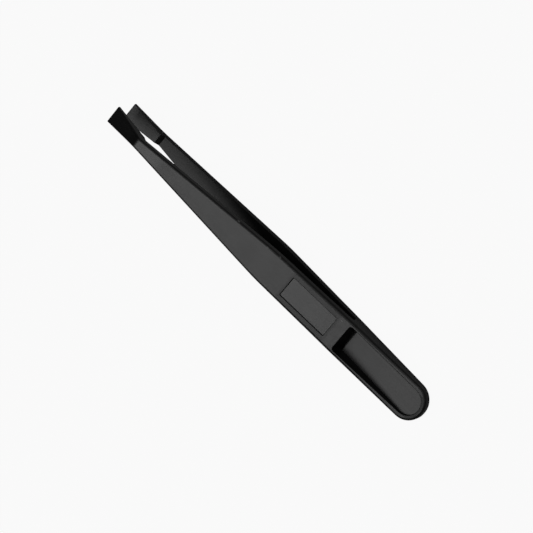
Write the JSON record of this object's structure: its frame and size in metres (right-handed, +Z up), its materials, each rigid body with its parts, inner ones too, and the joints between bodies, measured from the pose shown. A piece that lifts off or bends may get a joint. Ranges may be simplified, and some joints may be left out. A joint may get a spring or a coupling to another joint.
{
  "type": "plastic tweezers",
  "caption": "One-piece moulded plastic tweezers with two tapering springy arms, flat spatula tips with raised inner pads, and a round-ended grip with a drafted pocket.",
  "frame": {"origin": "On the flat outer face of the lower arm, which the piece lies on, under the middle of its length and width.", "axes": "+X from the tips to the rounded rear end, +Y across the arms, +Z up, the way that the tips open."},
  "size_m": [0.1181, 0.011, 0.0166],
  "materials": {
    "black_plastic": "semi-matte moulded"
  },
  "bodies": {
    "root": {"tweezers_body": "black_plastic"}
  },
  "joints": []
}
